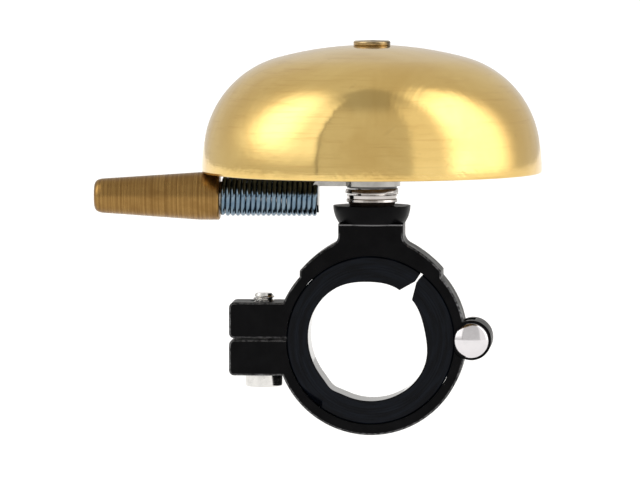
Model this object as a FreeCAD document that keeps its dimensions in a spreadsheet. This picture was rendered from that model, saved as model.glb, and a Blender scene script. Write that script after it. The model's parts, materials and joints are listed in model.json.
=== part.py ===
import FreeCAD, Part
import math
import os
import types

import Sketcher

# Bicycle bell on a hinged bar clamp. Millimetres, +Z up through the bell, the bar along Y.
# The origin is the centre of the clamp's bore. The striker points to -X and the hinge is at +X.

os.makedirs("parts", exist_ok=True)
doc = FreeCAD.newDocument("bicycle_bell")

# ---------------------------------------------------------------- driving dimensions

DRIVING = [
    ("dome_top", 55.45, "top of the dome above the bar axis"),
    ("dome_wall", 1.2, "thickness of the spun brass"),
    ("crown_radius", 67.6, "radius of the flat crown"),
    ("crown_angle", 15.3, "half angle of the crown"),
    ("shoulder_radius", 18.9, "radius of the shoulder"),
    ("shoulder_angle", 78.6, "where the shoulder meets the side wall"),
    ("side_radius", 33.9, "radius of the nearly upright side"),
    ("dome_rim", 31.4, "height of the rim above the bar axis"),
    ("rim_round", 0.35, "rounding of the rim"),
    ("dome_hole", 4.4, "diameter of the hole in the crown"),
    ("screw_bore", 4.2, "bore of the pieces on the centre screw"),
    ("centre_thread", 4.0, "thread of the centre screw"),
    ("centre_head", 7.0, "diameter of the centre screw's head"),
    ("centre_head_tall", 1.05, "height of the centre screw's head"),
    ("centre_key", 2.5, "hexagon in the centre screw's head"),
    ("centre_key_deep", 0.8, "depth of that hexagon"),
    ("centre_end", 18.6, "height of the lower end of the centre screw"),
    ("cushion_diameter", 9.0, "fibre washer under the crown"),
    ("cushion_thick", 1.0, "thickness of the fibre washer"),
    ("sleeve_diameter", 8.0, "spacer sleeve inside the dome"),
    ("flange_thick", 0.9, "thickness of the pivot bush's flange"),
    ("flange_diameter", 9.6, "diameter of that flange"),
    ("barrel_diameter", 6.0, "barrel that the striker plate turns on"),
    ("plate_gap", 0.05, "running clearance of the striker plate"),
    ("plate_thick", 1.05, "thickness of the striker plate"),
    ("plate_eye", 10.8, "diameter of the striker plate's eye"),
    ("lug_reach", 10.9, "outer face of the folded lug from the bell axis"),
    ("lug_thick", 0.95, "thickness of the folded lug"),
    ("lug_wide", 5.0, "width of the folded lug"),
    ("lug_drop", 6.1, "height of the lug under the plate's top face"),
    ("friction_thick", 0.3, "nylon washer under the striker plate"),
    ("friction_diameter", 9.4, "diameter of the nylon washer"),
    ("lock_thick", 1.3, "split spring washer"),
    ("lock_diameter", 10.1, "diameter of the split spring washer"),
    ("lock_bore", 6.3, "bore of the split spring washer"),
    ("lock_turn", 348.0, "how far round the split spring washer goes"),
    ("thrust_thick", 1.35, "thick washer under the spring washer"),
    ("thrust_diameter", 9.7, "diameter of the thick washer"),
    ("collar_thick", 0.7, "insulating collar on the clamp's seat"),
    ("collar_diameter", 9.0, "diameter of the insulating collar"),
    ("seat_top", 25.2, "top of the clamp's flared seat"),
    ("seat_diameter", 14.6, "top diameter of the flared seat"),
    ("seat_foot", 21.6, "height of the foot of the flare"),
    ("seat_foot_diameter", 12.0, "diameter of the foot of the flare"),
    ("seat_curve", 6.0, "radius of the flare's side"),
    ("axis_height", 26.85, "height of the striker's axis above the bar axis"),
    ("wire", 1.0, "spring wire"),
    ("coil_diameter", 7.6, "outside diameter of the spring"),
    ("coil_pitch", 0.98, "pitch of the close-wound spring"),
    ("coil_turns", 18, "turns of the spring"),
    ("end_gap", 0.05, "clearance at each end of the spring"),
    ("peg_diameter", 5.5, "peg and stud that the spring is wound onto"),
    ("peg_deep", 4.5, "how far the peg and the stud go into the spring"),
    ("rivet_diameter", 3.0, "tail of the peg in the lug"),
    ("stud_tail", 4.0, "diameter of the stud inside the knob"),
    ("stud_tail_deep", 7.0, "how far the stud goes into the knob"),
    ("knob_length", 23.8, "length of the striker knob"),
    ("knob_large", 9.0, "diameter of the knob beside the spring"),
    ("knob_straight", 3.9, "straight part of the knob beside the spring"),
    ("knob_small", 6.3, "diameter of the knob at its tip"),
    ("knob_tip_round", 1.2, "rounding of the tip"),
    ("knob_base_round", 0.4, "rounding beside the spring"),
    ("clamp_bore", 31.84, "bore of the clamp ring"),
    ("clamp_ring", 35.8, "outside diameter of the clamp ring"),
    ("clamp_wide", 10.0, "width of the clamp along the bar"),
    ("parting", 0.15, "height of the split between the two halves"),
    ("parting_gap", 0.24, "gap between the two halves"),
    ("ear_reach", 26.7, "end of the ears from the bar axis"),
    ("ear_height", 6.9, "outer faces of the ears from the parting"),
    ("ear_round", 1.0, "rounding of the ears' outer corners"),
    ("neck_wide", 12.2, "width of the neck"),
    ("neck_root", 18.52, "height where the neck's side would meet the shoulder"),
    ("shoulder_out", 13.35, "outer corner of the clamp's shoulder"),
    ("shoulder_out_height", 13.1, "height of that corner"),
    ("shoulder_curve", 22.0, "radius of the clamp's shoulder"),
    ("neck_fillet", 2.0, "radius between the neck and the shoulder"),
    ("clamp_chamfer", 0.35, "chamfer round the clamp's front and back"),
    ("hinge_reach", 19.0, "hinge axis from the bar axis"),
    ("hinge_height", 0.1, "hinge axis above the bar axis"),
    ("knuckle_diameter", 7.5, "outside diameter of the knuckles"),
    ("knuckle_middle", 4.8, "width of the lower jaw's knuckle"),
    ("knuckle_relief", 6.1, "its diameter where it swings past the shim"),
    ("relief_start", 0.6, "where that relief starts, past the hinge axis"),
    ("knuckle_gap", 0.12, "side and edge clearance of the knuckles"),
    ("pin_diameter", 3.0, "hinge pin"),
    ("pin_gap", 0.05, "running clearance of the hinge pin"),
    ("pin_head", 6.5, "diameter of the pin's domed head"),
    ("pin_head_tall", 2.2, "height of the pin's domed head"),
    ("pin_rear_head", 4.6, "diameter of the peened end"),
    ("pin_rear_tall", 0.9, "height of the peened end"),
    ("pin_flat", 0.5, "small flat in the middle of each head"),
    ("pin_washer", 6.2, "diameter of the washer under the peened end"),
    ("pin_washer_thick", 0.6, "thickness of that washer"),
    ("bolt_reach", 20.4, "clamp screw's axis from the bar axis"),
    ("bolt_thread", 4.0, "thread of the clamp screw"),
    ("bolt_gap", 0.05, "play of the clamp screw in the lower ear"),
    ("bolt_relief", 0.62, "relief of the upper ear's hole for the opening jaw"),
    ("bolt_head", 7.0, "diameter of the clamp screw's head"),
    ("bolt_head_tall", 4.0, "height of the clamp screw's head"),
    ("bolt_sink", 1.7, "depth of the counterbore for the head"),
    ("bolt_proud", 1.5, "how far the thread stands above the upper ear"),
    ("bolt_key", 3.0, "hexagon in the clamp screw's head"),
    ("bolt_key_deep", 2.0, "depth of that hexagon"),
    ("shim_bore", 22.3, "bore of the shim, for a 22.2 mm bar"),
    ("shim_outer", 31.74, "outside diameter of the shim"),
    ("shim_wide", 9.8, "width of the shim along the bar"),
    ("shim_chamfer", 0.3, "chamfer round the shim's outer ends"),
    ("split_angle", 52.4, "direction of the shim's split"),
    ("split_waist", 0.15, "half the gap at the narrowest place"),
    ("split_waist_radius", 13.95, "radius of the narrowest place"),
    ("split_outer", 0.45, "half the gap outside the shim"),
    ("split_inner", 1.65, "half the gap inside the bore"),
    ("crease_angle", 231.6, "direction of the shim's bending groove"),
    ("crease_radius", 14.75, "radius of the bottom of that groove"),
]

sheet = doc.addObject("Spreadsheet::Sheet", "Sizes")
for row, (name, value, meaning) in enumerate(DRIVING, start=1):
    sheet.set(f"A{row}", meaning)
    sheet.set(f"B{row}", str(value))
    sheet.setAlias(f"B{row}", name)
doc.recompute()


class Size:
    """A number in millimetres or degrees, and the spreadsheet formula that drives it."""

    def __init__(self, value, formula):
        self.value = value
        self.formula = formula

    def __add__(self, other):
        other = as_size(other)
        return Size(self.value + other.value, f"({self.formula} + {other.formula})")

    def __sub__(self, other):
        other = as_size(other)
        return Size(self.value - other.value, f"({self.formula} - {other.formula})")

    def __mul__(self, other):
        other = as_size(other)
        return Size(self.value * other.value, f"{self.formula} * {other.formula}")

    def __truediv__(self, other):
        other = as_size(other)
        return Size(self.value / other.value, f"{self.formula} / ({other.formula})")

    def __neg__(self):
        return Size(-self.value, f"(0 - {self.formula})")


def as_size(number):
    return number if isinstance(number, Size) else Size(float(number), str(number))


def sine(angle):
    return Size(math.sin(math.radians(angle.value)), f"sin({angle.formula})")


def cosine(angle):
    return Size(math.cos(math.radians(angle.value)), f"cos({angle.formula})")


def root(number):
    return Size(math.sqrt(number.value), f"sqrt({number.formula})")


size = types.SimpleNamespace(**{
    name: Size(float(sheet.get(name)), f"Sizes.{name}") for name, value, meaning in DRIVING
})

# ---------------------------------------------------------------- helpers

sub_parts = []


def new_body(label, place_x=None, place_y=None, place_z=None):
    """A sub-part, placed by the spreadsheet."""
    body = doc.addObject("PartDesign::Body", label)
    body.Label = label
    for axis, place in (("x", place_x), ("y", place_y), ("z", place_z)):
        if place is not None:
            body.setExpression(f".Placement.Base.{axis}", as_size(place).formula)
    sub_parts.append(body)
    return body


def new_sketch(body, plane, offset=None):
    """An empty sketch on one of the body's own origin planes, moved along its normal."""
    sketch = body.newObject("Sketcher::SketchObject", f"{body.Name}_sketch")
    origin_plane = next(item for item in body.Origin.OriginFeatures if item.Role == plane)
    sketch.AttachmentSupport = [(origin_plane, "")]
    sketch.MapMode = "FlatFace"
    if offset is not None:
        sketch.setExpression("AttachmentOffset.Base.z", as_size(offset).formula)
    return sketch


def drive(sketch, constraint, formula_size):
    """Add a constraint whose value follows the spreadsheet."""
    index = sketch.addConstraint(Sketcher.Constraint(*constraint, formula_size.value))
    sketch.setExpression(f"Constraints[{index}]", formula_size.formula)


def fix_point(sketch, geometry, end, across, up):
    """Hold one point of the sketch at its place from the origin."""
    drive(sketch, ("DistanceX", -1, 1, geometry, end), across)
    drive(sketch, ("DistanceY", -1, 1, geometry, end), up)


def arc_between(start, end, radius):
    """An arc from start to end of less than half a turn; a positive radius turns to the left."""
    chord = end - start
    middle = (start + end) * 0.5
    left = FreeCAD.Vector(-chord.y, chord.x, 0).normalize()
    rise = math.sqrt(radius ** 2 - (chord.Length / 2) ** 2)
    centre = middle + left * math.copysign(rise, radius)
    return Part.Arc(start, centre - left * radius, end)


def draw_outline(sketch, points):
    """A closed outline of (across, up) points. A third value is the radius of the arc that
    leaves the point: positive turns anticlockwise, negative turns clockwise."""
    points = [(as_size(point[0]), as_size(point[1]), *point[2:]) for point in points]
    place = [FreeCAD.Vector(point[0].value, point[1].value, 0) for point in points]
    edges = []
    for index, point in enumerate(points):
        start = place[index]
        end = place[(index + 1) % len(points)]
        if len(point) == 2:
            edges.append((sketch.addGeometry(Part.LineSegment(start, end)), 1, 2))
            continue
        radius = as_size(point[2])
        edge = sketch.addGeometry(arc_between(start, end, radius.value))
        first, last = (1, 2) if radius.value > 0 else (2, 1)
        edges.append((edge, first, last))
        size_of_arc = radius if radius.value > 0 else -radius
        drive(sketch, ("Radius", edge), size_of_arc)
    for index, (edge, first, last) in enumerate(edges):
        next_edge, next_first, _ = edges[(index + 1) % len(edges)]
        sketch.addConstraint(Sketcher.Constraint("Coincident", edge, last, next_edge, next_first))
        fix_point(sketch, edge, first, points[index][0], points[index][1])


def draw_circle(sketch, across, up, diameter):
    across, up, diameter = as_size(across), as_size(up), as_size(diameter)
    centre = FreeCAD.Vector(across.value, up.value, 0)
    circle = sketch.addGeometry(Part.Circle(centre, FreeCAD.Vector(0, 0, 1), diameter.value / 2))
    drive(sketch, ("Diameter", circle), diameter)
    fix_point(sketch, circle, 3, across, up)


def hexagon(flats):
    """The corners of a hexagon about the origin, given its size across flats."""
    corner = flats / root(as_size(3))
    return [(corner * math.cos(math.radians(60 * side)), corner * math.sin(math.radians(60 * side)))
            for side in range(6)]


def pad(body, sketch, length, both_ways=False, reverse=False):
    feature = body.newObject("PartDesign::Pad", f"{body.Name}_pad")
    feature.Profile = sketch
    feature.setExpression("Length", as_size(length).formula)
    feature.SideType = "Symmetric" if both_ways else "One side"
    feature.Reversed = reverse
    return finished(body, feature)


def pocket(body, sketch, length=None, both_ways=False, reverse=False):
    """A cut; without a length it goes through everything."""
    before = body.Shape.Volume
    feature = body.newObject("PartDesign::Pocket", f"{body.Name}_pocket")
    feature.Profile = sketch
    if length is None:
        feature.Type = "ThroughAll"
    else:
        feature.setExpression("Length", as_size(length).formula)
    feature.SideType = "Symmetric" if both_ways else "One side"
    feature.Reversed = reverse
    finished(body, feature)
    if body.Shape.Volume > before - 1e-4:
        raise RuntimeError(f"{feature.Name} cuts nothing")
    return feature


def revolve(body, sketch, axis="V_Axis", angle=360):
    feature = body.newObject("PartDesign::Revolution", f"{body.Name}_turning")
    feature.Profile = sketch
    feature.ReferenceAxis = (sketch, [axis])
    feature.setExpression("Angle", as_size(angle).formula)
    return finished(body, feature)


def finished(body, feature):
    body.Tip = feature
    doc.recompute()
    if "Invalid" in feature.State or feature.Shape.isNull():
        raise RuntimeError(f"{feature.Name} failed")
    return feature


def ease(body, kind, amount, chosen):
    """Fillet or chamfer the edges that the chosen() test picks."""
    base = body.Tip
    names = [f"Edge{index}" for index, edge in enumerate(base.Shape.Edges, start=1)
             if not edge.Degenerated and chosen(edge)]
    if not names:
        raise RuntimeError(f"{body.Label} has no edge to {kind}")
    feature = body.newObject(f"PartDesign::{kind}", f"{body.Name}_{kind.lower()}")
    feature.Base = (base, names)
    feature.setExpression("Radius" if kind == "Fillet" else "Size", as_size(amount).formula)
    return finished(body, feature)


def circle_edge(radius, height=None):
    """A test for a round edge of this radius, at this height."""
    def chosen(edge):
        if not isinstance(edge.Curve, Part.Circle) or abs(edge.Curve.Radius - radius) > 1e-3:
            return False
        return height is None or abs(edge.Curve.Center.z - height) < 1e-3
    return chosen


def face_edge(wide, *left_sharp):
    """A test for an edge of the front or back face, but not a level one at these heights."""
    def chosen(edge):
        box = edge.BoundBox
        if box.YLength > 1e-3 or abs(abs(box.YMin) - wide / 2) > 1e-3:
            return False
        return box.ZLength > 1e-3 or all(abs(box.ZMin - height) > 1e-3 for height in left_sharp)
    return chosen


def washer(label, bottom, thick, diameter, bore):
    """A flat ring on the bell axis."""
    body = new_body(label, place_z=bottom)
    sketch = new_sketch(body, "XY_Plane")
    draw_circle(sketch, 0, 0, diameter)
    draw_circle(sketch, 0, 0, bore)
    pad(body, sketch, thick)
    return body


# ---------------------------------------------------------------- heights of the stack

collar_bottom = size.seat_top
thrust_bottom = collar_bottom + size.collar_thick
lock_bottom = thrust_bottom + size.thrust_thick
friction_bottom = lock_bottom + size.lock_thick
plate_bottom = friction_bottom + size.friction_thick + size.plate_gap
plate_top = plate_bottom + size.plate_thick
flange_bottom = plate_top + size.plate_gap
sleeve_bottom = flange_bottom + size.flange_thick


def crown_height(radius, depth=0):
    """Height of the crown at this distance from the bell axis, at this depth in the brass."""
    arc = size.crown_radius - depth
    return size.dome_top - size.crown_radius + root(arc * arc - radius * radius)


cushion_top = crown_height(size.cushion_diameter / 2, size.dome_wall)
head_bottom = crown_height(size.dome_hole / 2)

# ---------------------------------------------------------------- bell_dome


def dome_points(depth):
    """Crown, shoulder and side: where the arcs of the dome meet, at this depth in the brass."""
    crown, shoulder, side = size.crown_radius, size.shoulder_radius, size.side_radius
    turn, bend = size.crown_angle, size.shoulder_angle
    across = (crown - shoulder) * sine(turn)
    up = size.dome_top - size.dome_rim - crown + (crown - shoulder) * cosine(turn)
    side_across = across + (shoulder - side) * sine(bend)
    side_up = up + (shoulder - side) * cosine(bend)
    return [
        (as_size(0), size.dome_top - size.dome_rim - depth),
        (across + (shoulder - depth) * sine(turn), up + (shoulder - depth) * cosine(turn)),
        (side_across + (side - depth) * sine(bend), side_up + (side - depth) * cosine(bend)),
        (side_across + side - depth, side_up),
    ]


def make_bell_dome():
    body = new_body("bell_dome", place_z=size.dome_rim)
    sketch = new_sketch(body, "XZ_Plane")
    outer = dome_points(as_size(0))
    inner = dome_points(size.dome_wall)
    radii = [size.crown_radius, size.shoulder_radius, size.side_radius]
    outline = [(*point, -radius) for point, radius in zip(outer, radii)]
    outline += [outer[3], (outer[3][0], 0), (inner[3][0], 0)]
    for index in (3, 2, 1):
        outline.append((*inner[index], radii[index - 1] - size.dome_wall))
    outline.append(inner[0])
    draw_outline(sketch, outline)
    revolve(body, sketch)
    ease(body, "Fillet", size.rim_round, circle_edge(outer[3][0].value, 0.0))
    hole = new_sketch(body, "XY_Plane", size.dome_top - size.dome_rim)
    draw_circle(hole, 0, 0, size.dome_hole)
    pocket(body, hole, size.dome_wall * 3)


make_bell_dome()

# ---------------------------------------------------------------- centre_screw


def make_centre_screw():
    body = new_body("centre_screw", place_z=head_bottom)
    sketch = new_sketch(body, "XZ_Plane")
    head = size.centre_head / 2
    shank = size.centre_thread / 2
    tip = size.centre_end - head_bottom
    draw_outline(sketch, [
        (0, tip),
        (shank - 0.5, tip),
        (shank, tip + 0.5),
        (shank, 0),
        (head, 0),
        (head, size.centre_head_tall * 0.5),
        (head - 0.55, size.centre_head_tall),
        (0, size.centre_head_tall),
    ])
    revolve(body, sketch)
    key = new_sketch(body, "XY_Plane", size.centre_head_tall)
    draw_outline(key, hexagon(size.centre_key))
    pocket(body, key, size.centre_key_deep)


make_centre_screw()

# ---------------------------------------------------------------- washers, sleeve and bush

washer("fibre_washer", cushion_top - size.cushion_thick, size.cushion_thick,
       size.cushion_diameter, size.screw_bore)
washer("spacer_sleeve", sleeve_bottom, cushion_top - size.cushion_thick - sleeve_bottom,
       size.sleeve_diameter, size.screw_bore)
washer("friction_washer", friction_bottom, size.friction_thick,
       size.friction_diameter, size.barrel_diameter + 0.3)


def make_thrust_washer():
    body = washer("thrust_washer", thrust_bottom, size.thrust_thick,
                  size.thrust_diameter, size.screw_bore)
    ease(body, "Fillet", size.thrust_thick * 0.3, circle_edge(size.thrust_diameter.value / 2))


make_thrust_washer()


def make_seat_collar():
    body = new_body("seat_collar", place_z=collar_bottom)
    sketch = new_sketch(body, "XZ_Plane")
    edge = size.collar_diameter / 2
    draw_outline(sketch, [
        (size.screw_bore / 2, 0),
        (edge - 0.35, 0),
        (edge, size.collar_thick),
        (size.screw_bore / 2, size.collar_thick),
    ])
    revolve(body, sketch)


make_seat_collar()


def make_spring_washer():
    """A split ring; its two ends face each other across a narrow gap at +X."""
    body = new_body("spring_washer", place_z=lock_bottom)
    sketch = new_sketch(body, "XZ_Plane")
    draw_outline(sketch, [
        (size.lock_bore / 2, 0),
        (size.lock_diameter / 2, 0),
        (size.lock_diameter / 2, size.lock_thick),
        (size.lock_bore / 2, size.lock_thick),
    ])
    revolve(body, sketch, angle=size.lock_turn)


make_spring_washer()


def make_pivot_bush():
    """A flanged bush: the plate turns on its barrel, under its flange."""
    body = new_body("pivot_bush", place_z=flange_bottom)
    sketch = new_sketch(body, "XZ_Plane")
    draw_outline(sketch, [
        (size.screw_bore / 2, lock_bottom - flange_bottom),
        (size.barrel_diameter / 2, lock_bottom - flange_bottom),
        (size.barrel_diameter / 2, 0),
        (size.flange_diameter / 2, 0),
        (size.flange_diameter / 2, size.flange_thick),
        (size.screw_bore / 2, size.flange_thick),
    ])
    revolve(body, sketch)


make_pivot_bush()

# ---------------------------------------------------------------- striker_plate


def make_striker_plate():
    """An eye on the bush's barrel, an arm, and a lug folded down to carry the spring."""
    body = new_body("striker_plate", place_z=plate_bottom)
    eye = size.plate_eye / 2
    half = size.lug_wide / 2
    meet = root(eye * eye - half * half)
    top_view = new_sketch(body, "XY_Plane")
    draw_outline(top_view, [
        (-size.lug_reach, half),
        (-size.lug_reach, -half),
        (-meet, -half, eye),
        (0, -eye, eye),
        (eye, 0, eye),
        (0, eye, eye),
        (-meet, half),
    ])
    pad(body, top_view, size.plate_thick)
    low = size.plate_thick - size.lug_drop
    lug = new_sketch(body, "YZ_Plane", -size.lug_reach)
    draw_outline(lug, [
        (half, size.plate_thick),
        (-half, size.plate_thick),
        (-half, low + 1.5),
        (-half + 1.5, low),
        (half - 1.5, low),
        (half, low + 1.5),
    ])
    pad(body, lug, size.lug_thick)
    corner = -size.lug_reach.value
    top = size.plate_thick.value

    def fold(edge):
        spots = [vertex.Point for vertex in edge.Vertexes]
        return all(abs(spot.x - corner) < 1e-3 and abs(spot.z - top) < 1e-3 for spot in spots)

    ease(body, "Fillet", size.lug_thick, fold)
    pivot = new_sketch(body, "XY_Plane", size.plate_thick)
    draw_circle(pivot, 0, 0, size.barrel_diameter + size.plate_gap * 2)
    pocket(body, pivot, size.plate_thick * 2)
    rivet = new_sketch(body, "YZ_Plane", size.lug_thick - size.lug_reach)
    draw_circle(rivet, 0, size.axis_height - plate_bottom, size.rivet_diameter)
    pocket(body, rivet, size.lug_thick)


make_striker_plate()

# ---------------------------------------------------------------- spring and its peg and stud

spring_start = size.lug_reach + size.end_gap
spring_length = size.coil_pitch * (size.coil_turns - 1) + size.wire
knob_base = spring_start + spring_length + size.end_gap


def make_spring_peg():
    """Riveted through the lug; the spring is wound onto it."""
    body = new_body("spring_peg", place_x=-size.lug_reach, place_z=size.axis_height)
    sketch = new_sketch(body, "XZ_Plane")
    peg = size.peg_diameter / 2
    rivet = size.rivet_diameter / 2
    draw_outline(sketch, [
        (-size.peg_deep, 0),
        (-size.peg_deep, peg - 0.4),
        (-size.peg_deep + 0.4, peg),
        (0, peg),
        (0, rivet),
        (size.lug_thick, rivet),
        (size.lug_thick, 0),
    ])
    revolve(body, sketch, "H_Axis")


make_spring_peg()


def make_striker_spring():
    """A close-wound spring: each turn is a ring that runs into the next one."""
    body = new_body("striker_spring", place_x=-spring_start, place_z=size.axis_height)
    sketch = new_sketch(body, "XZ_Plane")
    turns = int(size.coil_turns.value)
    wire = size.wire / 2
    middle = size.coil_diameter / 2 - wire
    neck = root(wire * wire - size.coil_pitch * size.coil_pitch / 4)
    right = [-wire - size.coil_pitch * turn - size.coil_pitch / 2 for turn in range(turns - 1)]
    outline = [(as_size(0), middle, wire)]
    outline += [(across, middle + neck, wire) for across in right]
    outline.append((-spring_length, middle, wire))
    outline += [(across, middle - neck, wire) for across in reversed(right)]
    draw_outline(sketch, outline)
    revolve(body, sketch, "H_Axis")


make_striker_spring()


def make_knob_stud():
    """Held in the knob; the spring's outer end is wound onto it."""
    body = new_body("knob_stud", place_x=-knob_base, place_z=size.axis_height)
    sketch = new_sketch(body, "XZ_Plane")
    peg = size.peg_diameter / 2
    tail = size.stud_tail / 2
    draw_outline(sketch, [
        (size.peg_deep, 0),
        (size.peg_deep, peg - 0.4),
        (size.peg_deep - 0.4, peg),
        (0, peg),
        (0, tail),
        (-size.stud_tail_deep, tail),
        (-size.stud_tail_deep, 0),
    ])
    revolve(body, sketch, "H_Axis")


make_knob_stud()

# ---------------------------------------------------------------- striker_knob


def make_striker_knob():
    """A turned brass taper with a blind hole for its stud."""
    body = new_body("striker_knob", place_x=-knob_base, place_z=size.axis_height)
    sketch = new_sketch(body, "XZ_Plane")
    draw_outline(sketch, [
        (0, 0),
        (0, size.knob_large / 2),
        (-size.knob_straight, size.knob_large / 2),
        (-size.knob_length, size.knob_small / 2),
        (-size.knob_length, 0),
    ])
    revolve(body, sketch, "H_Axis")
    tip = circle_edge(size.knob_small.value / 2)
    ease(body, "Fillet", size.knob_tip_round, tip)

    def base(edge):
        return edge.BoundBox.XLength < 1e-3 and abs(edge.BoundBox.XMax) < 1e-3

    ease(body, "Fillet", size.knob_base_round, base)
    hole = new_sketch(body, "YZ_Plane")
    draw_circle(hole, 0, 0, size.stud_tail)
    pocket(body, hole, size.stud_tail_deep + 0.3)


make_striker_knob()

# ---------------------------------------------------------------- the two halves of the clamp

ring = size.clamp_ring / 2
upper_face = size.parting + size.parting_gap / 2
lower_face = size.parting - size.parting_gap / 2


def on_ring(height):
    """How far from the middle the ring's outside is at this height."""
    return root(ring * ring - height * height)


def cut_disc(body, diameter, across=0, up=0, wide=None, front=None):
    """Cut a disc across the clamp: right through, or outward from each side of its middle."""
    if wide is not None:
        sketch = new_sketch(body, "XZ_Plane")
        draw_circle(sketch, across, up, diameter)
        pocket(body, sketch, wide, both_ways=True)
        return
    for side in (1, -1):
        sketch = new_sketch(body, "XZ_Plane", front * side)
        draw_circle(sketch, across, up, diameter)
        pocket(body, sketch, size.clamp_wide, reverse=side > 0)


def add_knuckle(body, wide):
    sketch = new_sketch(body, "XZ_Plane")
    draw_circle(sketch, size.hinge_reach, size.hinge_height, size.knuckle_diameter)
    pad(body, sketch, wide, both_ways=True)


def round_ears(body):
    """Round the outer upright corners of an ear, as seen from the front."""
    reach = -size.ear_reach.value

    def corner(edge):
        spots = [vertex.Point for vertex in edge.Vertexes]
        across = all(abs(spot.x - reach) < 1e-3 for spot in spots)
        return across and abs(spots[0].z - spots[1].z) < 1e-3

    ease(body, "Fillet", size.ear_round, corner)


def make_upper_clamp():
    """Half the ring, an ear, two knuckles, and the neck with its flared seat for the bell."""
    body = new_body("upper_clamp")
    neck = size.neck_wide / 2
    step = on_ring(size.shoulder_out)
    ear_top = size.parting + size.ear_height
    neck_top = size.seat_foot + 0.3
    right = [
        (size.shoulder_out, step),
        (size.shoulder_out, size.shoulder_out_height, size.shoulder_curve),
        (neck, size.neck_root),
        (neck, neck_top),
    ]
    left = [
        (-neck, neck_top),
        (-neck, size.neck_root, size.shoulder_curve),
        (-size.shoulder_out, size.shoulder_out_height),
        (-size.shoulder_out, step, ring),
    ]
    front = new_sketch(body, "XZ_Plane")
    draw_outline(front, [
        (on_ring(upper_face), upper_face, ring),
        *right,
        *left,
        (-on_ring(ear_top), ear_top),
        (-size.ear_reach, ear_top),
        (-size.ear_reach, upper_face),
    ])
    pad(body, front, size.clamp_wide, both_ways=True)
    round_ears(body)

    def neck_corner(edge):
        spots = [vertex.Point for vertex in edge.Vertexes]
        return all(abs(abs(spot.x) - neck.value) < 1e-3 and
                   abs(spot.z - size.neck_root.value) < 1e-3 for spot in spots)

    ease(body, "Fillet", size.neck_fillet, neck_corner)
    outline_edge = face_edge(size.clamp_wide.value, upper_face.value, neck_top.value)
    ease(body, "Chamfer", size.clamp_chamfer, outline_edge)
    add_knuckle(body, size.clamp_wide)
    cut_disc(body, size.knuckle_diameter + size.knuckle_gap * 2, size.hinge_reach,
             size.hinge_height, wide=size.knuckle_middle + size.knuckle_gap * 2)
    cut_disc(body, size.pin_diameter, size.hinge_reach, size.hinge_height,
             wide=size.clamp_wide * 2)
    cut_disc(body, size.clamp_bore, wide=size.clamp_wide * 2)
    flare = new_sketch(body, "XZ_Plane")
    draw_outline(flare, [
        (0, size.seat_foot),
        (size.seat_foot_diameter / 2, size.seat_foot, size.seat_curve),
        (size.seat_diameter / 2, size.seat_top),
        (0, size.seat_top),
    ])
    revolve(body, flare)
    thread = new_sketch(body, "XY_Plane", size.seat_top)
    draw_circle(thread, 0, 0, size.centre_thread)
    pocket(body, thread, size.seat_top - size.clamp_bore / 2 + 1.0)
    # The hole is relieved away from the hinge, so that the screw clears it as the jaw opens.
    bolt = size.bolt_thread / 2
    near, far = -size.bolt_reach, -size.bolt_reach - size.bolt_relief
    slot = new_sketch(body, "XY_Plane", ear_top)
    draw_outline(slot, [
        (near, -bolt, bolt),
        (near + bolt, 0, bolt),
        (near, bolt),
        (far, bolt, bolt),
        (far - bolt, 0, bolt),
        (far, -bolt),
    ])
    pocket(body, slot, size.ear_height * 2)


make_upper_clamp()


def relieve_knuckle(body):
    """Cut the knuckle back where it swings past the shim as the jaw opens."""
    relief = size.knuckle_relief / 2
    corner = size.knuckle_diameter
    across, up = size.hinge_reach, size.hinge_height
    start = size.relief_start
    sketch = new_sketch(body, "XZ_Plane")
    draw_outline(sketch, [
        (across + start, up + root(relief * relief - start * start), relief),
        (across - relief, up),
        (across - corner, up),
        (across - corner, up + corner),
        (across + start, up + corner),
    ])
    pocket(body, sketch, size.knuckle_middle, both_ways=True)


def make_lower_clamp():
    """Half the ring, an ear for the screw's head, and one knuckle between the upper two."""
    body = new_body("lower_clamp")
    ear_bottom = size.parting - size.ear_height
    front = new_sketch(body, "XZ_Plane")
    draw_outline(front, [
        (-size.ear_reach, lower_face),
        (-size.ear_reach, ear_bottom),
        (-on_ring(ear_bottom), ear_bottom, ring),
        (0, -ring, ring),
        (on_ring(lower_face), lower_face),
    ])
    pad(body, front, size.clamp_wide, both_ways=True)
    round_ears(body)
    ease(body, "Chamfer", size.clamp_chamfer, face_edge(size.clamp_wide.value, lower_face.value))
    add_knuckle(body, size.knuckle_middle)
    relieve_knuckle(body)
    cut_disc(body, size.knuckle_diameter + size.knuckle_gap * 2, size.hinge_reach,
             size.hinge_height, front=size.knuckle_middle / 2)
    cut_disc(body, size.pin_diameter + size.pin_gap * 2, size.hinge_reach, size.hinge_height,
             wide=size.clamp_wide * 2)
    cut_disc(body, size.clamp_bore, wide=size.clamp_wide * 2)
    hole = new_sketch(body, "XY_Plane", ear_bottom)
    draw_circle(hole, -size.bolt_reach, 0, size.bolt_thread + size.bolt_gap * 2)
    pocket(body, hole, size.ear_height * 2, reverse=True)
    sink = new_sketch(body, "XY_Plane", ear_bottom)
    draw_circle(sink, -size.bolt_reach, 0, size.bolt_head + 0.3)
    pocket(body, sink, size.bolt_sink, reverse=True)


make_lower_clamp()

# ---------------------------------------------------------------- clamp_screw


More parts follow.
